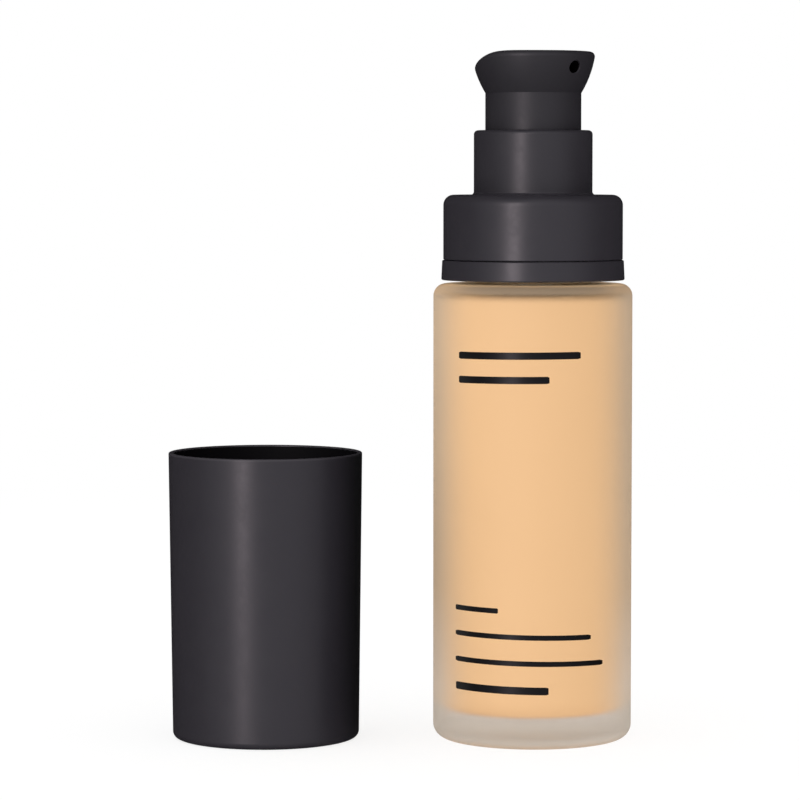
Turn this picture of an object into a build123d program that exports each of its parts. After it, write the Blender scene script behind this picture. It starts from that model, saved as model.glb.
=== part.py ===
"""Foundation bottle: a frosted glass bottle with a screw-on treatment pump, and its overcap.

The bottle stands on z = 0 with its axis on Z, and -Y is the front. The pump is shown at the top
of its stroke. The overcap is off and stands beside the bottle with its open end up. Every piece
is a separate solid in its own STEP file. Lengths are millimetres.
"""

from build123d import *
import math
import os

# ---- glass bottle ------------------------------------------------------------------------------
BODY_R = 15.5  # outside radius of the glass
SHOULDER_Z = 71.1  # height of the flat shoulder
HEEL_R = 2.2  # rounding between the side and the base
SHOULDER_EDGE_R = 1.9
WALL = 2.75
FLOOR_Z = 4.5  # top of the thick glass base, at its rim
FLOOR_CROWN = 0.4  # the floor rises by this much in the middle
ROOF_T = 1.5  # thickness of the glass shoulder
ROOF_CORNER_R = 1.0
CAVITY_CORNER_R = 2.6
PUNT_R = 10.6  # hollow under the base
PUNT_DEPTH = 0.9
NECK_R = 8.9  # thread root
NECK_BORE_R = 6.0
LIP_Z = SHOULDER_Z + 9.1
FILL_Z = SHOULDER_Z - 1.75  # level of the liquid
FILL_GAP = 0.03  # keeps the liquid's solid clear of the glass

# ---- neck thread, one and a bit turns ----------------------------------------------------------
THREAD_PITCH = 3.175
THREAD_TURNS = 1.15
THREAD_DEPTH = 1.0
THREAD_FOOT = 1.5  # axial width of the ridge where it leaves the wall
THREAD_CREST = 0.6
THREAD_CLEARANCE = 0.22  # radial gap between a crest and the facing wall
NECK_THREAD_Z = 74.7

# ---- pump, fixed pieces ------------------------------------------------------------------------
GASKET_T = 0.8
FLANGE_T = 1.1
FLANGE_R = 8.6
CLOSURE_PLATE_T = 1.3
CLOSURE_HOLE_R = 6.4
GUIDE_FLANGE_R = 6.1
GUIDE_BOSS_R = 3.9
RING_BOTTOM_Z = SHOULDER_Z + 0.55
RING_TOP_Z = RING_BOTTOM_Z + 3.1
RING_R_BOTTOM = 14.28  # the visible ring flares a little towards the bottle
RING_R_TOP = 14.14
COLLAR_R = 13.97
COLLAR_TOP_Z = 84.9
COLLAR_BOTTOM_Z = RING_TOP_Z + 0.08
COLLAR_EDGE_R = 1.6
COLLAR_WALL = 1.2
TURRET_R = 9.23
TURRET_BORE_R = 7.66
TURRET_TOP_Z = 94.9
HOUSING_R = 4.75
HOUSING_GUIDE_R = 5.6  # centres the housing in the neck
CHAMBER_R = 3.6
LEDGE_Z = 60.2  # the spring stands here
INLET_R = 2.9  # outside of the spigot that holds the dip tube
TUBE_R = 1.9
TUBE_BORE_R = 1.2
TUBE_BOTTOM_Z = 6.6

# ---- pump, moving pieces -----------------------------------------------------------------------
STROKE = 5.6
STEM_R = 2.1
STEM_BORE_R = 1.1
STEM_NECK_R = 1.9
STEM_TOP_Z = 98.4
RUNNING_GAP = 0.05
PISTON_LAG = 0.8  # the piston slides this far on the stem to open its ports
BALL_R = 1.5
WIRE_R = 0.2
COIL_R = 2.35
SPRING_TURNS = 6.5

# ---- actuator ----------------------------------------------------------------------------------
SKIRT_R = 7.46
SKIRT_BORE_R = 6.4
HUB_R = 3.3  # holds the stem
SKIRT_BOTTOM_Z = 89.5
HEAD_FOOT_Z = 100.65
HEAD_TOP_Z = 107.05
HEAD_BACK_Z = 104.58  # the finger rest falls to this height behind
REST_START = 2.6  # where the finger rest begins and ends, measured from the axis towards the nozzle
REST_END = -9.6
HEAD_R = 9.66
HEAD_EDGE_R = 0.75
NOZZLE_ANGLE = 42.4 - 90  # direction of the nozzle round Z, from +X
NOZZLE_Z = 104.55
ORIFICE_R = 0.95  # half the height of the oval outlet
ORIFICE_HALF_WIDTH = 1.1
ORIFICE_DEPTH = 3.6
CHANNEL_R = 0.6

# ---- overcap, standing on its closed end -------------------------------------------------------
CAP_X = -41.75  # its axis, to the left of the bottle
CAP_HEIGHT = 44.75
CAP_FOOT_R = 14.58
CAP_RIM_R = 15.13
CAP_EDGE_R = 1.0
CAP_BORE_R = 14.40
CAP_MOUTH_DEPTH = 4.0
CAP_END_T = 1.5
CAP_RIB_R = 14.05  # friction ribs reach in to this radius

# Heights that follow from the ones above.
gasket_top = LIP_Z + GASKET_T
flange_top = gasket_top + FLANGE_T
plate_top = flange_top + CLOSURE_PLATE_T
guide_bottom = flange_top - 5.7  # lower end of the stem guide
guide_top = flange_top + 3.3
flange_face = flange_top + 0.8  # top of the guide's flange
guide_bore = STEM_R + RUNNING_GAP
shoulder_bottom = guide_bottom - 1.5  # the stem's stop, under the guide
tip_top = shoulder_bottom - 4.5
tip_bottom = tip_top - 1.4
cage_r = BALL_R + 0.25
seat_z = LEDGE_Z - 3.2  # top of the ball's cone
spigot_top = seat_z - 2.7
spigot_bottom = spigot_top - 5.0
ball_z = seat_z - cage_r + BALL_R * math.sqrt(2) + 0.01


def half_section(*points):
    """Adds a face with its corners at (radius, height) points, for a revolve about Z."""
    with BuildLine() as outline:
        Polyline(*points, close=True)
    make_face(outline.edges())


def soften(section, radius, *corners):
    """Rounds the corners of a half section that lie nearest the given points."""
    for x, z in corners:
        fillet(section.vertices().sort_by_distance((x, z))[:1], radius)


def crown_arc(reach, rim_z, rise):
    """Arc from the axis out to reach, highest on the axis and square to it there."""
    radius = (reach**2 + rise**2) / (2 * rise)
    RadiusArc((0, rim_z + rise), (reach, rim_z), radius)


def cavity_section(gap, top):
    """The space inside the glass, drawn smaller by gap, up to the height top."""
    side = BODY_R - WALL - gap
    floor = FLOOR_Z + gap
    flat = side - CAVITY_CORNER_R
    with BuildLine() as outline:
        Line((0, top), (side, top))
        Line((side, top), (side, floor + CAVITY_CORNER_R))
        RadiusArc((side, floor + CAVITY_CORNER_R), (flat, floor), CAVITY_CORNER_R)
        crown_arc(flat, floor, FLOOR_CROWN)
        Line((0, floor + FLOOR_CROWN), (0, top))
    make_face(outline.edges())


def thread_section(reach):
    """Cross-section of a thread ridge. A negative reach points it at the axis."""
    root = math.copysign(0.3, -reach)  # buried in the wall
    with BuildLine() as outline:
        Polyline(
            (root, -THREAD_FOOT / 2),
            (reach, -THREAD_CREST / 2),
            (reach, THREAD_CREST / 2),
            (root, THREAD_FOOT / 2),
            close=True,
        )
    make_face(outline.edges())


def thread_start(helix):
    """Plane square to a helix at its start, with its x axis pointing away from Z."""
    return Plane(origin=helix @ 0, x_dir=(1, 0, 0), z_dir=helix % 0)


# ---- the bottle and what it holds --------------------------------------------------------------
with BuildPart() as glass_bottle:
    with BuildSketch(Plane.XZ) as section:
        foot = BODY_R - HEEL_R
        with BuildLine():
            crown_arc(PUNT_R, 0, PUNT_DEPTH)
            Line((PUNT_R, 0), (foot, 0))
            RadiusArc((foot, 0), (BODY_R, HEEL_R), -HEEL_R)
            Line((BODY_R, HEEL_R), (BODY_R, SHOULDER_Z - SHOULDER_EDGE_R))
            RadiusArc(
                (BODY_R, SHOULDER_Z - SHOULDER_EDGE_R),
                (BODY_R - SHOULDER_EDGE_R, SHOULDER_Z),
                -SHOULDER_EDGE_R,
            )
            Polyline(
                (BODY_R - SHOULDER_EDGE_R, SHOULDER_Z),
                (NECK_R, SHOULDER_Z),
                (NECK_R, LIP_Z),
                (0, LIP_Z),
                (0, PUNT_DEPTH),
            )
        make_face()
        soften(section, 0.5, (NECK_R, SHOULDER_Z), (NECK_R, LIP_Z))
        soften(section, 0.35, (PUNT_R, 0))
    revolve(axis=Axis.Z)
    with BuildSketch(Plane.XZ) as section:
        cavity_section(0, SHOULDER_Z - ROOF_T)
        soften(section, ROOF_CORNER_R, (BODY_R - WALL, SHOULDER_Z - ROOF_T))
    revolve(axis=Axis.Z, mode=Mode.SUBTRACT)
    with BuildSketch(Plane.XZ) as section:
        half_section(
            (0, SHOULDER_Z - ROOF_T - 1),
            (NECK_BORE_R, SHOULDER_Z - ROOF_T - 1),
            (NECK_BORE_R, LIP_Z),
            (0, LIP_Z),
        )
    revolve(axis=Axis.Z, mode=Mode.SUBTRACT)
    bore_ends = glass_bottle.edges().filter_by(GeomType.CIRCLE).filter_by(
        lambda e: abs(e.radius - NECK_BORE_R) < 0.01
    )
    fillet(bore_ends, 0.5)
    with BuildLine() as helix:
        Helix(THREAD_PITCH, THREAD_PITCH * THREAD_TURNS, NECK_R, center=(0, 0, NECK_THREAD_Z))
    with BuildSketch(thread_start(helix.line)):
        thread_section(THREAD_DEPTH)
    sweep(path=helix.line, is_frenet=True)

with BuildPart() as foundation_fill:
    with BuildSketch(Plane.XZ) as section:
        cavity_section(FILL_GAP, FILL_Z)
        soften(section, ROOF_CORNER_R, (BODY_R - WALL, FILL_Z))
    revolve(axis=Axis.Z)
    with BuildSketch(Plane.XZ):
        hollow = 0.15  # room round the pump and its tube
        half_section(
            (0, FILL_Z + 1),
            (HOUSING_R + hollow, FILL_Z + 1),
            (HOUSING_R + hollow, LEDGE_Z - 0.3),
            (INLET_R + hollow, LEDGE_Z - 3.4),
            (INLET_R + hollow, spigot_bottom - hollow),
            (TUBE_R + hollow, spigot_bottom - hollow),
            (TUBE_R + hollow, TUBE_BOTTOM_Z - hollow),
            (0, TUBE_BOTTOM_Z - hollow),
        )
    revolve(axis=Axis.Z, mode=Mode.SUBTRACT)

# ---- pump pieces that are clamped to the neck --------------------------------------------------
with BuildPart() as neck_gasket:
    with BuildSketch(Plane.XY.offset(LIP_Z)):
        Circle(FLANGE_R - 0.1)
        Circle(HOUSING_GUIDE_R + 0.1, mode=Mode.SUBTRACT)
    extrude(amount=GASKET_T)

with BuildPart() as pump_housing:
    with BuildSketch(Plane.XZ) as section:
        counterbore = CHAMBER_R + 1.0
        guide_end = gasket_top - 5.0
        half_section(
            (counterbore, flange_top),
            (FLANGE_R, flange_top),
            (FLANGE_R, gasket_top),
            (HOUSING_GUIDE_R, gasket_top),
            (HOUSING_GUIDE_R, guide_end),
            (HOUSING_R, guide_end - 0.85),
            (HOUSING_R, LEDGE_Z - 0.2),
            (INLET_R, LEDGE_Z - 3.2),
            (INLET_R, spigot_bottom),
            (TUBE_R, spigot_bottom),
            (TUBE_R, spigot_top),
            (cage_r - 0.95, spigot_top),
            (cage_r - 0.95, seat_z - 0.95),
            (cage_r, seat_z),
            (cage_r, LEDGE_Z),
            (CHAMBER_R, LEDGE_Z),
            (CHAMBER_R, guide_bottom - 0.1),
            (counterbore, guide_bottom - 0.1),
        )
        soften(section, 0.3, (FLANGE_R, flange_top), (FLANGE_R, gasket_top))
        soften(section, 0.4, (INLET_R, spigot_bottom))
    revolve(axis=Axis.Z)
    # Three nibs over the ball's cage keep the ball from following the flow upwards.
    nib_reach = 0.55
    with BuildSketch(Plane.XY.offset(LEDGE_Z - 0.35)):
        with PolarLocations(cage_r - nib_reach / 2 + 0.1, 3):
            Rectangle(nib_reach + 0.2, 0.8)
    extrude(amount=0.35)

with BuildPart() as stem_guide:
    with BuildSketch(Plane.XZ) as section:
        half_section(
            (guide_bore, guide_bottom),
            (counterbore - 0.04, guide_bottom),
            (counterbore - 0.04, flange_top),
            (GUIDE_FLANGE_R, flange_top),
            (GUIDE_FLANGE_R, flange_face),
            (GUIDE_BOSS_R, flange_face),
            (GUIDE_BOSS_R, guide_top),
            (guide_bore, guide_top),
        )
        soften(section, 0.3, (GUIDE_FLANGE_R, flange_face), (GUIDE_BOSS_R, flange_face))
        soften(section, 0.3, (GUIDE_BOSS_R, guide_top))
        soften(section, 0.2, (guide_bore, guide_top), (guide_bore, guide_bottom))
    revolve(axis=Axis.Z)

with BuildPart() as dip_tube:
    with BuildSketch(Plane.XY.offset(TUBE_BOTTOM_Z)):
        Circle(TUBE_R)
        Circle(TUBE_BORE_R, mode=Mode.SUBTRACT)
    extrude(amount=spigot_top - 0.3 - TUBE_BOTTOM_Z)
    # The lower end is cut at a slant, so that it can't seal against the floor.
    slant = Plane(origin=(0, 0, TUBE_BOTTOM_Z + TUBE_R * 0.6), z_dir=(0.5, 0, -1))
    split(bisect_by=slant, keep=Keep.BOTTOM)

# ---- closure and collar, which turn together to unscrew ----------------------------------------
with BuildPart() as screw_closure:
    bore = NECK_R + THREAD_DEPTH + THREAD_CLEARANCE
    wall = bore + 1.3
    with BuildSketch(Plane.XZ) as section:
        half_section(
            (bore, RING_BOTTOM_Z),
            (wall + 0.1, RING_BOTTOM_Z),
            (wall + 0.3, RING_TOP_Z - 1.2),
            (RING_R_BOTTOM - 1.2, RING_TOP_Z - 1.2),
            (RING_R_BOTTOM - 1.0, RING_BOTTOM_Z),
            (RING_R_BOTTOM, RING_BOTTOM_Z),
            (RING_R_TOP, RING_TOP_Z),
            (wall, RING_TOP_Z),
            (wall, plate_top),
            (CLOSURE_HOLE_R, plate_top),
            (CLOSURE_HOLE_R, flange_top),
            (bore, flange_top),
        )
        soften(section, 0.22, (RING_R_BOTTOM, RING_BOTTOM_Z), (RING_R_TOP, RING_TOP_Z))
        soften(section, 0.3, (wall, plate_top), (CLOSURE_HOLE_R, plate_top))
    revolve(axis=Axis.Z)
    # Upright splines centre the outer shell and carry its torque.
    splines = 24
    spline_r = COLLAR_R - COLLAR_WALL - 0.04
    with BuildSketch(Plane.XY.offset(RING_TOP_Z - 0.1)):
        with PolarLocations((wall + spline_r) / 2 - 0.1, splines):
            Rectangle(spline_r - wall + 0.2, 0.7)
    extrude(amount=plate_top - 0.8 - RING_TOP_Z)
    with BuildLine() as helix:
        Helix(
            THREAD_PITCH,
            THREAD_PITCH * THREAD_TURNS,
            bore,
            center=(0, 0, NECK_THREAD_Z - THREAD_PITCH / 2),
        )
    with BuildSketch(thread_start(helix.line)):
        thread_section(-THREAD_DEPTH)
    sweep(path=helix.line, is_frenet=True)

with BuildPart() as collar_shell:
    with BuildSketch(Plane.XZ) as section:
        inner = COLLAR_R - COLLAR_WALL
        half_section(
            (inner, COLLAR_BOTTOM_Z),
            (COLLAR_R, COLLAR_BOTTOM_Z),
            (COLLAR_R, COLLAR_TOP_Z),
            (TURRET_R, COLLAR_TOP_Z),
            (TURRET_R, TURRET_TOP_Z),
            (TURRET_BORE_R, TURRET_TOP_Z),
            (TURRET_BORE_R, plate_top + 0.1),
            (inner, plate_top + 0.1),
        )
        soften(section, COLLAR_EDGE_R, (COLLAR_R, COLLAR_TOP_Z))
        soften(section, 0.5, (TURRET_R, COLLAR_TOP_Z), (inner, plate_top + 0.1))
        soften(section, 0.65, (TURRET_R, TURRET_TOP_Z))
        soften(section, 0.12, (TURRET_BORE_R, TURRET_TOP_Z))
        soften(section, 0.15, (COLLAR_R, COLLAR_BOTTOM_Z))
    revolve(axis=Axis.Z)

# ---- the plunger: stem, tip, piston, spring and inlet ball -------------------------------------
with BuildPart() as pump_stem:
    stop_r = CHAMBER_R - 0.5
    with BuildSketch(Plane.XZ) as section:
        half_section(
            (STEM_BORE_R, tip_top),
            (STEM_NECK_R, tip_top),
            (STEM_NECK_R, shoulder_bottom),
            (stop_r, shoulder_bottom),
            (stop_r, guide_bottom - 0.2),
            (STEM_R, guide_bottom - 0.2),
            (STEM_R, STEM_TOP_Z),
            (STEM_BORE_R, STEM_TOP_Z),
        )
        soften(section, 0.25, (STEM_R, STEM_TOP_Z), (stop_r, guide_bottom - 0.2))
    revolve(axis=Axis.Z)
    # Two crossed ports let the liquid into the bore while the piston is lifted off the tip.
    port_z = tip_top + 1.1
    for direction in (Plane.XZ, Plane.YZ):
        with BuildSketch(direction):
            with Locations((0, port_z)):
                Circle(0.45)
        extrude(amount=STEM_NECK_R + 1, both=True, mode=Mode.SUBTRACT)

with BuildPart() as stem_tip:
    tip_r = CHAMBER_R - 0.7
    with BuildSketch(Plane.XZ) as section:
        half_section((0, tip_bottom), (tip_r, tip_bottom), (tip_r, tip_top), (0, tip_top))
        soften(section, 0.3, (tip_r, tip_top), (tip_r, tip_bottom))
    revolve(axis=Axis.Z)
    # The pin grips the stem's bore on two sides and leaves two channels past its flats.
    with BuildSketch(Plane.XY.offset(tip_top)):
        Circle(STEM_BORE_R - 0.01)
        Rectangle(1.3, 3 * STEM_BORE_R, mode=Mode.INTERSECT)
    extrude(amount=3.4)

with BuildPart() as piston_seal:
    piston_bottom = tip_top + 0.04
    piston_top = shoulder_bottom - PISTON_LAG - 0.2
    lip_r = CHAMBER_R - 0.02
    body_r = CHAMBER_R - 0.25
    with BuildSketch(Plane.XZ) as section:
        half_section(
            (STEM_NECK_R + RUNNING_GAP, piston_bottom),
            (2.5, piston_bottom),
            (2.6, piston_bottom + 1.3),
            (2.95, piston_bottom + 1.3),
            (3.25, piston_bottom + 0.3),
            (lip_r, piston_bottom + 0.2),
            (lip_r, piston_bottom + 0.45),
            (body_r, piston_bottom + 1.1),
            (body_r, piston_top - 1.1),
            (lip_r, piston_top - 0.45),
            (lip_r, piston_top - 0.2),
            (3.25, piston_top - 0.3),
            (2.95, piston_top - 1.2),
            (2.6, piston_top - 1.2),
            (2.5, piston_top),
            (STEM_NECK_R + RUNNING_GAP, piston_top),
        )
    revolve(axis=Axis.Z)

with BuildPart() as return_spring:
    spring_bottom = LEDGE_Z + WIRE_R + 0.01
    spring_rise = tip_bottom - 2 * (WIRE_R + 0.01) - LEDGE_Z
    # The end coils lie nearly flat, and the pitch opens out between them.
    steps = 16 * 7
    coil = []
    for i in range(steps + 1):
        share = i / steps
        angle = 2 * math.pi * SPRING_TURNS * share
        height = share - 0.74 * math.sin(2 * math.pi * share) / (2 * math.pi)
        z = spring_bottom + spring_rise * height
        coil.append((COIL_R * math.cos(angle), COIL_R * math.sin(angle), z))
    with BuildLine() as wire:
        Spline(*coil)
    with BuildSketch(Plane(origin=wire.line @ 0, x_dir=(1, 0, 0), z_dir=wire.line % 0)):
        Circle(WIRE_R)
    sweep(path=wire.line, is_frenet=True)

with BuildPart() as inlet_ball:
    with Locations((0, 0, ball_z)):
        Sphere(BALL_R)

# ---- actuator ----------------------------------------------------------------------------------
nozzle_plane = Plane.XZ.rotated((0, 0, NOZZLE_ANGLE))  # x runs towards the nozzle, y upwards
nozzle_axis = Vector(nozzle_plane.x_dir)

with BuildPart() as actuator:
    with BuildSketch(Plane.XZ) as section:
        head_rise = HEAD_TOP_Z - HEAD_FOOT_Z
        with BuildLine():
            Polyline(
                (0, HEAD_TOP_Z),
                (0, SKIRT_BOTTOM_Z),
                (SKIRT_R, SKIRT_BOTTOM_Z),
                (SKIRT_R, HEAD_FOOT_Z),
            )
            ThreePointArc(
                (SKIRT_R, HEAD_FOOT_Z),
                (SKIRT_R + 0.72 * (HEAD_R - SKIRT_R), HEAD_FOOT_Z + 0.55 * head_rise),
                (HEAD_R, HEAD_TOP_Z),
            )
            Line((HEAD_R, HEAD_TOP_Z), (0, HEAD_TOP_Z))
        make_face()
        soften(section, 0.3, (SKIRT_R, SKIRT_BOTTOM_Z))
    revolve(axis=Axis.Z)
    # The top is almost flat over the nozzle and falls away behind it as a finger rest.
    reach = HEAD_R + 1
    brow_z = HEAD_TOP_Z - 0.02
    rest = [(reach, HEAD_TOP_Z), (6.0, HEAD_TOP_Z - 0.01)]
    steps = 6
    for i in range(steps + 1):
        share = i / steps
        along = REST_START + (REST_END - REST_START) * share
        fall = (brow_z - HEAD_BACK_Z) * (1 - math.cos(math.pi * share)) / 2
        rest.append((along, brow_z - fall))
    rest.append((-reach, HEAD_BACK_Z))
    with BuildSketch(nozzle_plane):
        with BuildLine():
            Spline(*rest, tangents=((-1, 0), (-1, 0)))
            Polyline(
                (-reach, HEAD_BACK_Z),
                (-reach, HEAD_TOP_Z + 1),
                (reach, HEAD_TOP_Z + 1),
                (reach, HEAD_TOP_Z),
            )
        make_face()
    extrude(amount=reach, both=True, mode=Mode.SUBTRACT)
    fillet(actuator.faces().sort_by(Axis.Z)[-1].outer_wire().edges(), HEAD_EDGE_R)
    # Hollow inside, with a hub for the stem.
    roof = HEAD_BACK_Z - 1.5
    hub_bottom = guide_top + STROKE + 0.6
    with BuildSketch(Plane.XZ) as section:
        half_section(
            (HUB_R, SKIRT_BOTTOM_Z),
            (SKIRT_BORE_R, SKIRT_BOTTOM_Z),
            (SKIRT_BORE_R, HEAD_FOOT_Z - 0.5),
            (SKIRT_BORE_R + 0.9, roof),
            (HUB_R, roof),
        )
        soften(section, 0.5, (SKIRT_BORE_R + 0.9, roof), (HUB_R, roof))
    revolve(axis=Axis.Z, mode=Mode.SUBTRACT)
    with BuildSketch(Plane.XY.offset(SKIRT_BOTTOM_Z)):
        Circle(4.0)
    extrude(amount=hub_bottom - SKIRT_BOTTOM_Z, mode=Mode.SUBTRACT)
    with BuildSketch(Plane.XY.offset(hub_bottom)):
        Circle(STEM_R + 0.03)
    extrude(amount=STEM_TOP_Z + 0.2 - hub_bottom, mode=Mode.SUBTRACT)
    with BuildSketch(Plane.XY.offset(STEM_TOP_Z)):
        Circle(STEM_BORE_R)
    extrude(amount=NOZZLE_Z + CHANNEL_R - STEM_TOP_Z, mode=Mode.SUBTRACT)
    # The nozzle: a narrow channel from the stem, and a wider oval outlet in the flared face.
    with BuildSketch(Plane(origin=(0, 0, NOZZLE_Z), z_dir=nozzle_axis)):
        Circle(CHANNEL_R)
    extrude(amount=HEAD_R + 1, mode=Mode.SUBTRACT)
    orifice_foot = nozzle_axis * (HEAD_R - ORIFICE_DEPTH) + Vector(0, 0, NOZZLE_Z)
    with BuildSketch(Plane(origin=orifice_foot, x_dir=nozzle_plane.z_dir, z_dir=nozzle_axis)):
        Ellipse(ORIFICE_HALF_WIDTH, ORIFICE_R)
    extrude(amount=ORIFICE_DEPTH + 1, mode=Mode.SUBTRACT)
    orifice_edge = actuator.edges().sort_by_distance(nozzle_axis * HEAD_R + Vector(0, 0, NOZZLE_Z))[:1]
    fillet(orifice_edge, 0.12)

# ---- overcap -----------------------------------------------------------------------------------
cap_axis = Axis((CAP_X, 0, 0), (0, 0, 1))
cap_plane = Plane(origin=(CAP_X, 0, 0), x_dir=(1, 0, 0), z_dir=(0, -1, 0))

with BuildPart() as overcap:
    with BuildSketch(cap_plane) as section:
        mouth_z = CAP_HEIGHT - CAP_MOUTH_DEPTH
        half_section(
            (0, 0),
            (CAP_FOOT_R, 0),
            (CAP_RIM_R, CAP_HEIGHT),
            (CAP_BORE_R, CAP_HEIGHT),
            (CAP_BORE_R, mouth_z),
            (CAP_FOOT_R - 1.05, CAP_END_T),
            (0, CAP_END_T),
        )
        soften(section, CAP_EDGE_R, (CAP_FOOT_R, 0))
        soften(section, 0.22, (CAP_RIM_R, CAP_HEIGHT), (CAP_BORE_R, CAP_HEIGHT))
        soften(section, 0.8, (CAP_FOOT_R - 1.05, CAP_END_T))
    revolve(axis=cap_axis)
    # Upright ribs below the mouth grip the collar.
    ribs = 8
    rib_bottom = mouth_z - 8.0
    with BuildSketch(Plane.XY.offset(rib_bottom)):
        with Locations((CAP_X, 0)):
            with PolarLocations((CAP_RIB_R + CAP_BORE_R) / 2 + 0.1, ribs):
                Rectangle(CAP_BORE_R - CAP_RIB_R + 0.2, 0.9)
    extrude(amount=mouth_z - 0.2 - rib_bottom)

pieces = {
    "glass_bottle": glass_bottle,
    "foundation_fill": foundation_fill,
    "neck_gasket": neck_gasket,
    "pump_housing": pump_housing,
    "stem_guide": stem_guide,
    "dip_tube": dip_tube,
    "screw_closure": screw_closure,
    "collar_shell": collar_shell,
    "pump_stem": pump_stem,
    "stem_tip": stem_tip,
    "piston_seal": piston_seal,
    "return_spring": return_spring,
    "inlet_ball": inlet_ball,
    "actuator": actuator,
    "overcap": overcap,
}
os.makedirs("parts", exist_ok=True)
for name, piece in pieces.items():
    piece.part.label = name
    export_step(piece.part, f"parts/{name}.step")
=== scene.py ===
"""Looks of the foundation bottle: frosted glass, beige liquid, satin black pump and overcap."""

import math

import bmesh
import bpy
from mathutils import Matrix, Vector


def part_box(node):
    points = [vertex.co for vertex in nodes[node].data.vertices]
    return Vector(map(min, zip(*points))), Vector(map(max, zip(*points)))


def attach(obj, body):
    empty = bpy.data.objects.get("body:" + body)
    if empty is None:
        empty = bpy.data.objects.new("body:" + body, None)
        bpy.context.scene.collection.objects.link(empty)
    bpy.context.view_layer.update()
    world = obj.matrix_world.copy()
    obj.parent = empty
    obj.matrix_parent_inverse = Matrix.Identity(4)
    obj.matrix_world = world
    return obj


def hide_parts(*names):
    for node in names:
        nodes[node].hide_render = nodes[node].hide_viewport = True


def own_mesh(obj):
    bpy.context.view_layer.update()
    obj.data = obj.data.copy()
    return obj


MM = 0.001
WHITE = (1, 1, 1, 1)

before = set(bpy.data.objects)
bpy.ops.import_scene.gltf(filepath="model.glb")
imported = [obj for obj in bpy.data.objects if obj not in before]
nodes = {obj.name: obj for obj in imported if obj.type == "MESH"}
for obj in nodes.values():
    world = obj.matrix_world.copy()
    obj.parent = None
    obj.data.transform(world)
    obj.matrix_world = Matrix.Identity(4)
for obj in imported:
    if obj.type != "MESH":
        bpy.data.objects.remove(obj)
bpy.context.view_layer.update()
scene = bpy.context.scene


# ---- node helpers -------------------------------------------------------------------------------
def new_material(name):
    """An empty node material: (material, node tree, output node)."""
    mat = bpy.data.materials.new(name)
    mat.use_nodes = True
    tree = mat.node_tree
    tree.nodes.clear()
    return mat, tree, tree.nodes.new("ShaderNodeOutputMaterial")


def add(tree, kind, **values):
    """A node with its inputs or settings set by name, where _ stands for a space in an input's name."""
    node = tree.nodes.new(kind)
    for key, value in values.items():
        socket_name = key.replace("_", " ")
        if socket_name in node.inputs:
            node.inputs[socket_name].default_value = value
        else:
            setattr(node, key, value)
    return node


def feed(tree, value, socket):
    """Sets a socket to a number, or links it to another node's output."""
    if isinstance(value, (int, float)):
        socket.default_value = value
    else:
        tree.links.new(value, socket)


def math_node(tree, operation, *values):
    node = add(tree, "ShaderNodeMath", operation=operation)
    for value, socket in zip(values, node.inputs):
        feed(tree, value, socket)
    return node.outputs[0]


def fold(tree, operation, *values):
    """A two-sided operation over any number of values. The product of masks is 1 where all of them are."""
    total = values[0]
    for value in values[1:]:
        total = math_node(tree, operation, total, value)
    return total


def radius_of(tree, x, y):
    squares = (math_node(tree, "MULTIPLY", value, value) for value in (x, y))
    return math_node(tree, "SQRT", math_node(tree, "ADD", *squares))


def map_range(tree, value, low, high, to_low, to_high, shape="SMOOTHSTEP"):
    """Goes from to_low to to_high as the value goes from low to high, and stays there on either side."""
    node = add(tree, "ShaderNodeMapRange", interpolation_type=shape)
    tree.links.new(value, node.inputs[0])
    for socket, number in zip(node.inputs[1:], (low, high, to_low, to_high)):
        socket.default_value = number
    return node.outputs[0]


def place(tree, origin=(0, 0, 0), turn=0.0):
    """x, y and z of the point being shaded on the piece at rest, from an origin, in axes turned about z."""
    shifted = add(tree, "ShaderNodeVectorMath", operation="SUBTRACT")
    shifted.inputs[1].default_value = origin
    tree.links.new(tree.nodes.new("ShaderNodeTexCoord").outputs["Object"], shifted.inputs[0])
    turned = add(tree, "ShaderNodeVectorRotate", rotation_type="Z_AXIS", Angle=-turn)
    tree.links.new(shifted.outputs[0], turned.inputs["Vector"])
    split = tree.nodes.new("ShaderNodeSeparateXYZ")
    tree.links.new(turned.outputs[0], split.inputs[0])
    return split.outputs


def noise(tree, scale, detail=3.0):
    """Noise over the piece's own coordinates, in features per metre."""
    node = add(tree, "ShaderNodeTexNoise", Scale=scale, Detail=detail, Roughness=0.55)
    tree.links.new(tree.nodes.new("ShaderNodeTexCoord").outputs["Object"], node.inputs["Vector"])
    return node.outputs[0]


COLOUR_A, COLOUR_B, COLOUR_OUT = 6, 7, 2  # the mix node's sockets for colours


def mix_color(tree, factor, a, b):
    """Colour a where the factor is 0, and b where it is 1. Either may be a socket."""
    node = add(tree, "ShaderNodeMix", data_type="RGBA")
    tree.links.new(factor, node.inputs[0])
    for value, socket in ((a, node.inputs[COLOUR_A]), (b, node.inputs[COLOUR_B])):
        if isinstance(value, tuple):
            socket.default_value = (*value, 1)
        else:
            tree.links.new(value, socket)
    return node.outputs[COLOUR_OUT]


def mix_shader(tree, factor, a, b):
    """Shader a where the factor is 0, and b where it is 1."""
    node = tree.nodes.new("ShaderNodeMixShader")
    for value, socket in zip((factor, a, b), node.inputs):
        feed(tree, value, socket)
    return node.outputs[0]


def mirror_only(tree, path):
    """1 for rays mirrored off a surface, and 0 for those that came through glass."""
    through = math_node(tree, "SUBTRACT", 1.0, path.outputs["Is Transmission Ray"])
    return math_node(tree, "MULTIPLY", path.outputs["Is Glossy Ray"], through)


# ---- plastics -----------------------------------------------------------------------------------
DRIFT_SCALE = 220.0
FLECK_SCALE = 1500.0
FINE_DETAIL = 2.0
FLECK_SHARE = 0.4  # of the change in gloss; slow drift makes the rest
GLOSS_SWING = 0.04  # how far the roughness goes to either side

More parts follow.
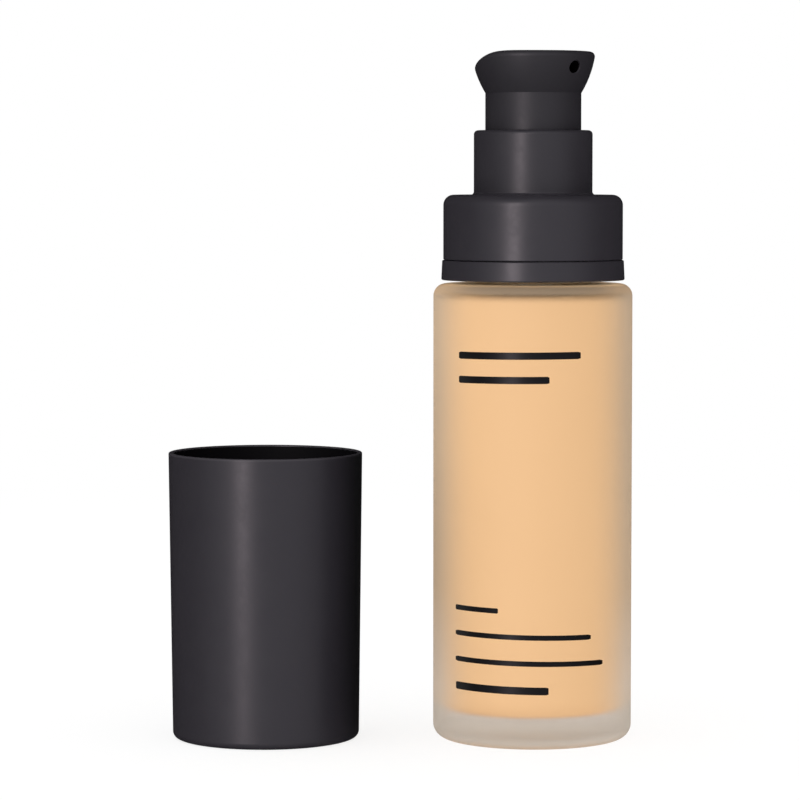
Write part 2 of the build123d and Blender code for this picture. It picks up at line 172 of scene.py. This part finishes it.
BLACK_DARK, BLACK_LIGHT = (0.0235, 0.0207, 0.0262), (0.0267, 0.0239, 0.0300)
BLACK_ROUGH = 0.34
CAP_ROUGH = 0.35


def plastic(name, dark, light, rough, grain=6000.0, grain_depth=2e-6, specular=0.5):
    """Moulded plastic: slow colour and gloss drift, and a fine moulded grain."""
    mat, tree, out = new_material(name)
    shader = add(tree, "ShaderNodeBsdfPrincipled", Specular_IOR_Level=specular)
    drift = noise(tree, DRIFT_SCALE)
    fleck = noise(tree, FLECK_SCALE, FINE_DETAIL)
    slow = math_node(tree, "MULTIPLY", drift, 1 - FLECK_SHARE)
    gloss = math_node(tree, "ADD", slow, math_node(tree, "MULTIPLY", fleck, FLECK_SHARE))
    roughness = map_range(tree, gloss, 0.3, 0.7, rough - GLOSS_SWING, rough + GLOSS_SWING)
    grained = add(tree, "ShaderNodeBump", Distance=grain_depth, Strength=1.0)
    tree.links.new(noise(tree, grain, FINE_DETAIL), grained.inputs["Height"])
    tree.links.new(mix_color(tree, drift, dark, light), shader.inputs["Base Color"])
    tree.links.new(roughness, shader.inputs["Roughness"])
    tree.links.new(grained.outputs[0], shader.inputs["Normal"])
    tree.links.new(shader.outputs[0], out.inputs[0])
    return mat, tree, shader, out


def paint_shade_inside(tree, inside, shader, out, colour, specular, roughness):
    """Paints shade: a dull, deeper black in place of the plastic's own shader wherever the mask is 1."""
    dull = add(tree, "ShaderNodeBsdfPrincipled", Specular_IOR_Level=specular, Roughness=roughness)
    dull.inputs["Base Color"].default_value = (*colour, 1)
    tree.links.new(mix_shader(tree, inside, shader.outputs[0], dull.outputs[0]), out.inputs[0])


# A painted highlight along the overcap's lip, paler than the satin black.
LIP_HIGHLIGHT = (0.042, 0.038, 0.045)
LIP_FADE = (0.4 * MM, 0.15 * MM)  # below the mouth: where the painted highlight on the lip starts, and where it is full
CAP_SKIN = (1.1 * MM, 0.4 * MM)  # how far inside the widest radius: at the closed end, at the mouth
CAP_END_WALL = 0.6 * MM
CAP_INNER_STOP = 0.24 * MM  # below the mouth, where the rounded lip turns inwards


def cap_plastic():
    """The pump's satin black, with painted shade inside the overcap, a dull near black, and a painted
    highlight along the lip of its mouth.
    """
    mat, tree, shader, out = plastic("overcap_black", BLACK_DARK, BLACK_LIGHT, CAP_ROUGH)
    low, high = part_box("overcap")
    x, y, up = place(tree, origin=((low.x + high.x) / 2, (low.y + high.y) / 2, low.z))
    tall = high.z - low.z
    satin = shader.inputs["Base Color"].links[0].from_socket
    # Painted highlight: the colour turns paler towards the lip of the mouth.
    lip_highlight = map_range(tree, up, tall - LIP_FADE[0], tall - LIP_FADE[1], 0.0, 1.0)
    tree.links.new(mix_color(tree, lip_highlight, satin, LIP_HIGHLIGHT), shader.inputs["Base Color"])
    # The wall leans out from foot to mouth; whatever lies well inside the outer face is inner.
    skin = [(high.x - low.x) / 2 - depth for depth in CAP_SKIN]
    wall = map_range(tree, up, 0.0, tall, *skin, shape="LINEAR")
    inner = fold(
        tree,
        "MULTIPLY",
        math_node(tree, "LESS_THAN", radius_of(tree, x, y), wall),
        math_node(tree, "GREATER_THAN", up, CAP_END_WALL),
        math_node(tree, "LESS_THAN", up, tall - CAP_INNER_STOP),
    )
    # Painted shade: the inside of the overcap is painted a dull, near black.
    paint_shade_inside(tree, inner, shader, out, (0.0035, 0.003, 0.004), specular=0.12, roughness=0.6)
    return mat


TURRET_HEIGHT = 10 * MM  # down from the top of the shell, to a little above the step
TURRET_DULLER = 0.05  # in roughness


def collar_plastic():
    """The pump's satin black, a little duller on the turret than on the wide collar."""
    mat, tree, shader, _ = plastic("collar_black", BLACK_DARK, BLACK_LIGHT, BLACK_ROUGH)
    step_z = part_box("collar_shell")[1].z - TURRET_HEIGHT
    duller = map_range(tree, place(tree)[2], step_z, step_z + 1 * MM, 0.0, TURRET_DULLER)
    satin = shader.inputs["Roughness"].links[0].from_socket
    tree.links.new(math_node(tree, "ADD", satin, duller), shader.inputs["Roughness"])
    return mat


NOZZLE_AZIMUTH = math.radians(-47.6)  # from +X
NOZZLE_DROP = 2.5 * MM  # below the top of the head
NOZZLE_HALF = (1.36 * MM, 1.0 * MM)  # a little more than the hole's half width and half height
NOZZLE_START = 4.0 * MM  # outwards from the axis, past the stem
FLARE_R = 8.85 * MM  # just inside the head's flare, at the height of the nozzle
FLARE_SLOPE = 0.25


def head_plastic():
    """The actuator's plastic, with painted shade inside its nozzle: deep black behind the rim."""
    mat, tree, shader, out = plastic(
        "head_black", (0.0195, 0.0172, 0.0217), (0.0225, 0.0202, 0.0252), 0.45, specular=0.42
    )
    origin = (0, 0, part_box("actuator")[1].z - NOZZLE_DROP)
    along, across, up = place(tree, origin, NOZZLE_AZIMUTH)
    offsets = [math_node(tree, "DIVIDE", value, half) for value, half in zip((across, up), NOZZLE_HALF)]
    flare = math_node(tree, "ADD", math_node(tree, "MULTIPLY", up, FLARE_SLOPE), FLARE_R)
    # Painted shade: inside the nozzle's hole the plastic is painted near black.
    bore = fold(
        tree,
        "MULTIPLY",
        math_node(tree, "LESS_THAN", radius_of(tree, *offsets), 1.0),
        math_node(tree, "GREATER_THAN", along, NOZZLE_START),
        math_node(tree, "LESS_THAN", radius_of(tree, along, across), flare),
    )
    paint_shade_inside(tree, bore, shader, out, (0.001, 0.001, 0.001), specular=0.05, roughness=0.7)
    return mat


# ---- liquid, steel and glass --------------------------------------------------------------------
def drifting(name, noise_scale, detail, dark, light, **values):
    """A plain material whose colour drifts slowly between two shades."""
    mat, tree, out = new_material(name)
    shader = add(tree, "ShaderNodeBsdfPrincipled", **values)
    drift = noise(tree, noise_scale, detail)
    tree.links.new(mix_color(tree, drift, dark, light), shader.inputs["Base Color"])
    tree.links.new(shader.outputs[0], out.inputs[0])
    return mat


# Parts of the glass, in the frame's heights and radii.
UNDERSIDE_Z = 3.0 * MM  # between the hollow under the base and the floor of the cavity
BORE_R = 7.0 * MM  # between the neck's bore and its thread
INTO_WALL = 0.2 * MM  # outwards from the liquid, past the cavity's wall
INTO_ROOF = 0.6 * MM  # upwards from the liquid, past the cavity's roof
LEVEL_SLACK = 0.05 * MM

GLASS_IOR = 1.4
GLASS_TINT = (0.985, 0.975, 0.955, 1)
ETCHED_ROUGH = 0.42
SHEEN_SHARE, SHEEN_ROUGH = 0.008, 0.55
GLOW_TINT = (0.80, 0.60, 0.38, 1)

# How much light the etched skin scatters: (from, to, amount before, amount after). The first goes by
# how far the skin turns away from the eye, and the rest by height.
EDGE_SCATTER = (0.16, 0.74, 0.0, 0.74)
BASE_SCATTER = (3.6 * MM, 5.6 * MM, 0.62, 0.0)
SHOULDER_SCATTER = (69.5 * MM, 70.1 * MM, 0.0, 0.58)
NECK_SCATTER = (71.1 * MM, 71.25 * MM, 0.0, 0.95)
SHOULDER_GLOW = (70.7 * MM, 71.05 * MM, 0.0, 0.7)

# The colour of that light by height, as a share of the glass's height. The scatter is the etched skin's
# own;
# its warm tints are painted glow for the liquid's light: beige in the thick base, brown on the shoulder and
# neck.
FOOT_HAZE = (0.50, 0.435, 0.37)
BASE_HAZE = (0.565, 0.50, 0.425)
LOW_HAZE = (0.565, 0.505, 0.44)
SIDE_HAZE = (0.46, 0.365, 0.27)
SHOULDER_HAZE = (0.45, 0.33, 0.222)
NECK_HAZE = (0.40, 0.26, 0.13)
HAZE_STOPS = (
    (0.0, FOOT_HAZE),
    (0.03, BASE_HAZE),
    (0.06, BASE_HAZE),
    (0.11, LOW_HAZE),
    (0.30, SIDE_HAZE),
    (0.862, SIDE_HAZE),
    (0.873, SHOULDER_HAZE),
    (0.8865, SHOULDER_HAZE),
    (0.888, NECK_HAZE),
)


def haze_and_painted_glow(tree, height):
    colour = tree.nodes.new("ShaderNodeValToRGB")
    ramp = colour.color_ramp
    while len(ramp.elements) < len(HAZE_STOPS):
        ramp.elements.new(0.5)
    for element, (position, value) in zip(ramp.elements, HAZE_STOPS):
        element.position = position
        element.color = (*value, 1)
    tree.links.new(math_node(tree, "DIVIDE", height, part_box("glass_bottle")[1].z), colour.inputs[0])
    return colour.outputs[0]


def frosted_glass():
    """Etched outside, clear inside. Where the liquid wets the inner wall, light passes straight through."""
    mat, tree, out = new_material("frosted_glass")
    x, y, height = place(tree)
    radius = radius_of(tree, x, y)
    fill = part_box("foundation_fill")[1]
    above_floor = math_node(tree, "GREATER_THAN", height, UNDERSIDE_Z)
    in_cavity = fold(
        tree,
        "MULTIPLY",
        math_node(tree, "LESS_THAN", radius, fill.x + INTO_WALL),
        above_floor,
        math_node(tree, "LESS_THAN", height, fill.z + INTO_ROOF),
    )
    in_bore = math_node(tree, "MULTIPLY", above_floor, math_node(tree, "LESS_THAN", radius, BORE_R))
    inside = math_node(tree, "MAXIMUM", in_cavity, in_bore)
    below_level = math_node(tree, "LESS_THAN", height, fill.z + LEVEL_SLACK)
    wetted = math_node(tree, "MULTIPLY", inside, below_level)
    etched = math_node(tree, "SUBTRACT", 1.0, inside)
    refract = add(tree, "ShaderNodeBsdfRefraction", IOR=GLASS_IOR, Color=GLASS_TINT)
    tree.links.new(math_node(tree, "MULTIPLY", etched, ETCHED_ROUGH), refract.inputs["Roughness"])
    sheen = add(tree, "ShaderNodeBsdfAnisotropic", Roughness=SHEEN_ROUGH, Color=WHITE)
    glass = mix_shader(tree, SHEEN_SHARE, refract.outputs[0], sheen.outputs[0])

    # The etched skin scatters some light itself: most at the edges, in the thick base and the shoulder.
    # The colour of that scatter is painted, standing in for the liquid's light.
    facing = add(tree, "ShaderNodeLayerWeight", Blend=0.5)
    amount = fold(
        tree,
        "MAXIMUM",
        map_range(tree, facing.outputs["Facing"], *EDGE_SCATTER),
        map_range(tree, height, *BASE_SCATTER),
        map_range(tree, height, *SHOULDER_SCATTER),
        map_range(tree, height, *NECK_SCATTER),
    )
    scatter = tree.nodes.new("ShaderNodeBsdfDiffuse")
    tree.links.new(haze_and_painted_glow(tree, height), scatter.inputs["Color"])
    # On top of the shoulder, under the ring, the light comes up through the glass.
    glow = add(tree, "ShaderNodeBsdfTranslucent", Color=GLOW_TINT)
    on_shoulder = map_range(tree, height, *SHOULDER_GLOW)
    haze = mix_shader(tree, on_shoulder, scatter.outputs[0], glow.outputs[0])
    frost = mix_shader(tree, math_node(tree, "MULTIPLY", etched, amount), glass, haze)

    # Light on its way to the liquid isn't dimmed by the etched skin.
    path = tree.nodes.new("ShaderNodeLightPath")
    clear = tree.nodes.new("ShaderNodeBsdfTransparent")
    passing = fold(
        tree, "MAXIMUM", wetted, path.outputs["Is Shadow Ray"], path.outputs["Is Diffuse Ray"]
    )
    tree.links.new(mix_shader(tree, passing, frost, clear.outputs[0]), out.inputs[0])
    return mat


# ---- which piece gets which look ----------------------------------------------------------------
soft_black = plastic("soft_black", BLACK_DARK, BLACK_LIGHT, BLACK_ROUGH)[0]
natural = plastic("natural_plastic", (0.74, 0.74, 0.71), (0.80, 0.80, 0.77), 0.35)[0]
seal = plastic("seal_plastic", (0.55, 0.62, 0.68), (0.62, 0.68, 0.74), 0.4)[0]
foam = plastic(
    "gasket_foam", (0.82, 0.82, 0.80), (0.90, 0.90, 0.88), 0.8, grain=2500.0, grain_depth=2e-5
)[0]
ink = plastic("ink", (0.0015, 0.0013, 0.0015), (0.003, 0.0026, 0.003), 0.35, specular=0.25)[0]
liquid = drifting(
    "foundation",
    noise_scale=90.0,
    detail=2.0,
    dark=(0.775, 0.486, 0.256),
    light=(0.795, 0.501, 0.266),
    Roughness=0.6,
    Specular_IOR_Level=0.1,
)
steel = drifting(
    "spring_steel",
    noise_scale=900.0,
    detail=3.0,
    dark=(0.55, 0.55, 0.56),
    light=(0.68, 0.68, 0.69),
    Metallic=1.0,
    Roughness=0.25,
)

node_looks = {
    "glass_bottle": frosted_glass(),
    "foundation_fill": liquid,
    "neck_gasket": foam,
    "pump_housing": natural,
    "stem_guide": natural,
    "dip_tube": natural,
    "screw_closure": soft_black,
    "collar_shell": collar_plastic(),
    "pump_stem": natural,
    "stem_tip": natural,
    "piston_seal": seal,
    "return_spring": steel,
    "inlet_ball": steel,
    "actuator": head_plastic(),
    "overcap": cap_plastic(),
}
for name, look in node_looks.items():
    nodes[name].data.materials.clear()
    nodes[name].data.materials.append(look)


# ---- return spring, as a wire coil at rest --------------------------------------------------------
SPRING_TURNS = 6.5
WIRE_R = 0.2 * MM
WIRE_SIDES = 12
STEPS_PER_TURN = 32
END_FLATNESS = 0.74  # 1 would lay the ends of the wire quite flat


def coil_mesh(name, low, high):
    """Wire coil between two corners of a box, with its end coils laid nearly flat."""
    coil_r = high.x - WIRE_R
    start, rise = low.z + WIRE_R, high.z - low.z - 2 * WIRE_R
    steps = int(SPRING_TURNS * STEPS_PER_TURN)
    mesh = bmesh.new()
    rings = []
    for i in range(steps + 1):
        share = i / steps
        angle = 2 * math.pi * SPRING_TURNS * share
        z = start + rise * (share - END_FLATNESS * math.sin(2 * math.pi * share) / (2 * math.pi))
        out = Vector((math.cos(angle), math.sin(angle), 0))
        ring = []
        for k in range(WIRE_SIDES):
            turn = 2 * math.pi * k / WIRE_SIDES
            at = out * (coil_r + WIRE_R * math.cos(turn)) + Vector((0, 0, z + WIRE_R * math.sin(turn)))
            ring.append(mesh.verts.new(at))
        rings.append(ring)
    for a, b in zip(rings, rings[1:]):
        for k in range(WIRE_SIDES):
            beside = (k + 1) % WIRE_SIDES
            mesh.faces.new((a[k], b[k], b[beside], a[beside])).smooth = True
    mesh.faces.new(rings[0])
    mesh.faces.new(reversed(rings[-1]))
    bmesh.ops.recalc_face_normals(mesh, faces=mesh.faces)
    data = bpy.data.meshes.new(name)
    mesh.to_mesh(data)
    mesh.free()
    return data


spring_low, spring_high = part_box("return_spring")
spring_mesh = coil_mesh("spring_coil", spring_low, spring_high)
spring_mesh.materials.append(steel)
spring = bpy.data.objects.new("spring_coil", spring_mesh)
scene.collection.objects.link(spring)
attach(spring, "pump_frame")
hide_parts("return_spring")
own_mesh(spring)


# ---- printed bars on the glass --------------------------------------------------------------------
INK_LIFT = 0.005 * MM  # clear of the glass
INK_THICK = 0.03 * MM
BAR_STEPS = 48
BAR_CORNER = 0.12 * MM


def printed_bar(name, x0, x1, z, height, tilt):
    """Thin ink strip on the glass between x0 and x1 as seen from the front, in millimetres.

    Its right end hangs lower by the tilt, in degrees.
    """
    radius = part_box("glass_bottle")[1].x
    inner, outer = radius + INK_LIFT, radius + INK_LIFT + INK_THICK
    a0, a1 = (math.asin(x * MM / radius) for x in (x0, x1))
    verts, faces = [], []
    for i in range(BAR_STEPS + 1):
        angle = a0 + (a1 - a0) * i / BAR_STEPS
        # The corners of the strip are rounded a little.
        from_end = min(i, BAR_STEPS - i) * abs(a1 - a0) * radius / BAR_STEPS
        short = max(0.0, BAR_CORNER - from_end)
        half = height * MM / 2 - BAR_CORNER + math.sqrt(max(0.0, BAR_CORNER**2 - short**2))
        middle = z * MM - radius * angle * math.tan(math.radians(tilt))
        for r, dz in ((outer, half), (outer, -half), (inner, -half), (inner, half)):
            verts.append((r * math.sin(angle), -r * math.cos(angle), middle + dz))
    for i in range(BAR_STEPS):
        for k in range(4):
            a, b = 4 * i + k, 4 * i + (k + 1) % 4
            faces.append((a, b, b + 4, a + 4))
    last = 4 * BAR_STEPS
    faces += [(3, 2, 1, 0), (last, last + 1, last + 2, last + 3)]
    mesh = bpy.data.meshes.new(name)
    mesh.from_pydata(verts, [], faces)
    mesh.materials.append(ink)
    bar = bpy.data.objects.new(name, mesh)
    scene.collection.objects.link(bar)
    bar.visible_diffuse = False
    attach(bar, "bottle")


printed_bar("print_bar_1", -11.65, 6.78, 60.53, 1.1, -0.4)
printed_bar("print_bar_2", -11.65, 1.99, 56.83, 1.1, -0.4)
printed_bar("print_line_1", -12.1, -5.75, 21.4, 0.8, 0.9)
printed_bar("print_line_2", -12.1, 8.5, 17.48, 0.8, 0.9)
printed_bar("print_line_3", -12.1, 10.38, 13.46, 0.8, 0.9)
printed_bar("print_rule", -12.05, 1.97, 9.3, 1.18, 0.9)


# ---- floor ----------------------------------------------------------------------------------------
def staged(name, corners, mat):
    """A four-cornered sheet that isn't part of the object."""
    mat.cycles.emission_sampling = "NONE"
    mesh = bpy.data.meshes.new(name)
    mesh.from_pydata(corners, [], [(0, 1, 2, 3)])
    mesh.materials.append(mat)
    sheet = bpy.data.objects.new(name, mesh)
    scene.collection.objects.link(sheet)
    sheet.visible_shadow = False
    return sheet


FLOOR_HALF = 6.0
FLOOR_GREY = (0.55, 0.55, 0.55, 1)
FLOOR_LIFT = 0.5
FLOOR_FADE = (0.10, 0.45)  # distance from the bottle's axis, where the floor turns from lit to white
CAMERA_PALENESS = 0.6  # how much paler the camera sees the floor than it is


def floor_material():
    """A lit floor by the bottle that fades to plain white further off."""
    mat, tree, out = new_material("floor")
    near = tree.nodes.new("ShaderNodeAddShader")
    tree.links.new(add(tree, "ShaderNodeBsdfDiffuse", Color=FLOOR_GREY).outputs[0], near.inputs[0])
    lift = add(tree, "ShaderNodeEmission", Color=WHITE, Strength=FLOOR_LIFT)
    tree.links.new(lift.outputs[0], near.inputs[1])
    far = add(tree, "ShaderNodeEmission", Color=WHITE, Strength=1.0)
    distance = add(tree, "ShaderNodeVectorMath", operation="LENGTH")
    tree.links.new(tree.nodes.new("ShaderNodeTexCoord").outputs["Object"], distance.inputs[0])
    far_off = map_range(tree, distance.outputs["Value"], *FLOOR_FADE, 0.0, 1.0)
    path = tree.nodes.new("ShaderNodeLightPath")
    pale = math_node(tree, "MULTIPLY", path.outputs["Is Camera Ray"], CAMERA_PALENESS)
    white = math_node(tree, "MAXIMUM", far_off, pale)
    tree.links.new(mix_shader(tree, white, near.outputs[0], far.outputs[0]), out.inputs[0])
    return mat


floor_corners = [(sx * FLOOR_HALF, sy * FLOOR_HALF, 0) for sx, sy in ((-1, -1), (1, -1), (1, 1), (-1, 1))]
floor = staged("floor", floor_corners, floor_material())
floor.visible_glossy = False

# ---- world: plain white to the camera, a room with a bright side to all else ------------------------
ROOM_AZIMUTH = math.radians(-42)  # of the room's bright side, from the front, to the right
ROOM_DIM, ROOM_BRIGHT = 0.52, 1.48
MIRROR_TINT = (1, 0.96, 1.06, 1)
MIRROR_FRONT, MIRROR_BACK = 0.60, 0.03
MIRROR_BELOW = 0.4  # what is left of the mirrored room well below eye level

world = bpy.data.worlds.new("studio")
scene.world = world
world.use_nodes = True
world.cycles.sampling_method = "NONE"
tree = world.node_tree
tree.nodes.clear()
out = tree.nodes.new("ShaderNodeOutputWorld")
seen = add(tree, "ShaderNodeBackground", Color=WHITE, Strength=1.0)
room = add(tree, "ShaderNodeBackground", Color=WHITE)
mirrored = add(tree, "ShaderNodeBackground", Color=MIRROR_TINT)
outward = tree.nodes.new("ShaderNodeTexCoord").outputs["Generated"]
towards = add(tree, "ShaderNodeVectorMath", operation="DOT_PRODUCT")
towards.inputs[1].default_value = (math.sin(ROOM_AZIMUTH), -math.cos(ROOM_AZIMUTH), 0)
tree.links.new(outward, towards.inputs[0])
room_light = map_range(tree, towards.outputs["Value"], -1.0, 1.0, ROOM_DIM, ROOM_BRIGHT, shape="LINEAR")
tree.links.new(room_light, room.inputs["Strength"])
split = tree.nodes.new("ShaderNodeSeparateXYZ")
tree.links.new(outward, split.inputs[0])
front = map_range(tree, split.outputs[1], -0.9, 0.1, MIRROR_FRONT, MIRROR_BACK)
above = map_range(tree, split.outputs[2], -0.6, 0.1, MIRROR_BELOW, 1.0)
tree.links.new(math_node(tree, "MULTIPLY", front, above), mirrored.inputs["Strength"])
path = tree.nodes.new("ShaderNodeLightPath")
lit = mix_shader(tree, mirror_only(tree, path), room.outputs[0], mirrored.outputs[0])
tree.links.new(mix_shader(tree, path.outputs["Is Camera Ray"], lit, seen.outputs[0]), out.inputs[0])

# ---- soft strip light, from the front left ----------------------------------------------------------
KEY_AZIMUTH = math.radians(-27)  # from the front, to the right
KEY_DISTANCE, KEY_HEIGHT = 1.0, 0.25
KEY_WIDTH, KEY_TALL = 0.24, 0.8
KEY_POWER = 3.2
KEY_COLOUR = (1.0, 0.87, 0.92)
KEY_AIM = Vector((0, 0, 0.05))

key_light = bpy.data.lights.new("key_strip", "AREA")
key_light.shape = "RECTANGLE"
key_light.size, key_light.size_y = KEY_WIDTH, KEY_TALL
key_light.energy = KEY_POWER
key_light.color = KEY_COLOUR
key = bpy.data.objects.new("key_strip", key_light)
key.location = (KEY_DISTANCE * math.sin(KEY_AZIMUTH), -KEY_DISTANCE * math.cos(KEY_AZIMUTH), KEY_HEIGHT)
key.rotation_euler = (KEY_AIM - key.location).to_track_quat("-Z", "Y").to_euler()
key.visible_diffuse = False
scene.collection.objects.link(key)

# ---- card between cap and bottle, shading the cap and lighting the bottle ---------------------------
CARD_X = -24.5 * MM
CARD_FRONT, CARD_BACK, CARD_TALL = -14 * MM, 60 * MM, 60 * MM
CARD_BLACK = 0.02
CARD_CLEAR = 0.4  # how much of the white side lets light through


def card_material():
    """Black towards the cap, shading its right side, and glowing white towards the bottle as a fill light.
    The floor doesn't see it.
    """
    mat, tree, out = new_material("flag")
    geometry = tree.nodes.new("ShaderNodeNewGeometry")
    # Where a ray started: its length back from the point it hit.
    reach = add(tree, "ShaderNodeVectorMath", operation="MULTIPLY_ADD")
    tree.links.new(geometry.outputs["Incoming"], reach.inputs[0])
    ray_length = tree.nodes.new("ShaderNodeLightPath").outputs["Ray Length"]
    tree.links.new(ray_length, reach.inputs[1])
    tree.links.new(geometry.outputs["Position"], reach.inputs[2])
    ray_start = tree.nodes.new("ShaderNodeSeparateXYZ")
    tree.links.new(reach.outputs[0], ray_start.inputs[0])
    from_floor = math_node(tree, "LESS_THAN", ray_start.outputs[2], 0.3 * MM)
    black = add(tree, "ShaderNodeEmission", Color=WHITE, Strength=CARD_BLACK)
    white = add(tree, "ShaderNodeEmission", Color=WHITE, Strength=1.0)
    clear = tree.nodes.new("ShaderNodeBsdfTransparent")
    pale = mix_shader(tree, CARD_CLEAR, white.outputs[0], clear.outputs[0])
    sides = mix_shader(tree, geometry.outputs["Backfacing"], black.outputs[0], pale)
    tree.links.new(mix_shader(tree, from_floor, sides, clear.outputs[0]), out.inputs[0])
    return mat


card_corners = [
    (CARD_X, y, z)
    for y, z in ((CARD_BACK, 0), (CARD_FRONT, 0), (CARD_FRONT, CARD_TALL), (CARD_BACK, CARD_TALL))
]
card = staged("flag", card_corners, card_material())
card.visible_camera = False

# ---- camera -----------------------------------------------------------------------------------------
CAMERA_AT = (-20.71 * MM, -557 * MM, 88.3 * MM)
CAMERA_DOWN = 3.638  # degrees below level

camera_data = bpy.data.cameras.new("camera")
camera_data.lens = 160.8
camera_data.sensor_width = 36.0
camera_data.clip_start = 0.01
camera = bpy.data.objects.new("camera", camera_data)
camera.location = CAMERA_AT
camera.rotation_euler = (math.radians(90 - CAMERA_DOWN), 0, 0)
scene.collection.objects.link(camera)
scene.camera = camera

scene.view_settings.view_transform = "Standard"
scene.cycles.use_denoising = True
scene.cycles.max_bounces = 16
scene.cycles.transmission_bounces = 12
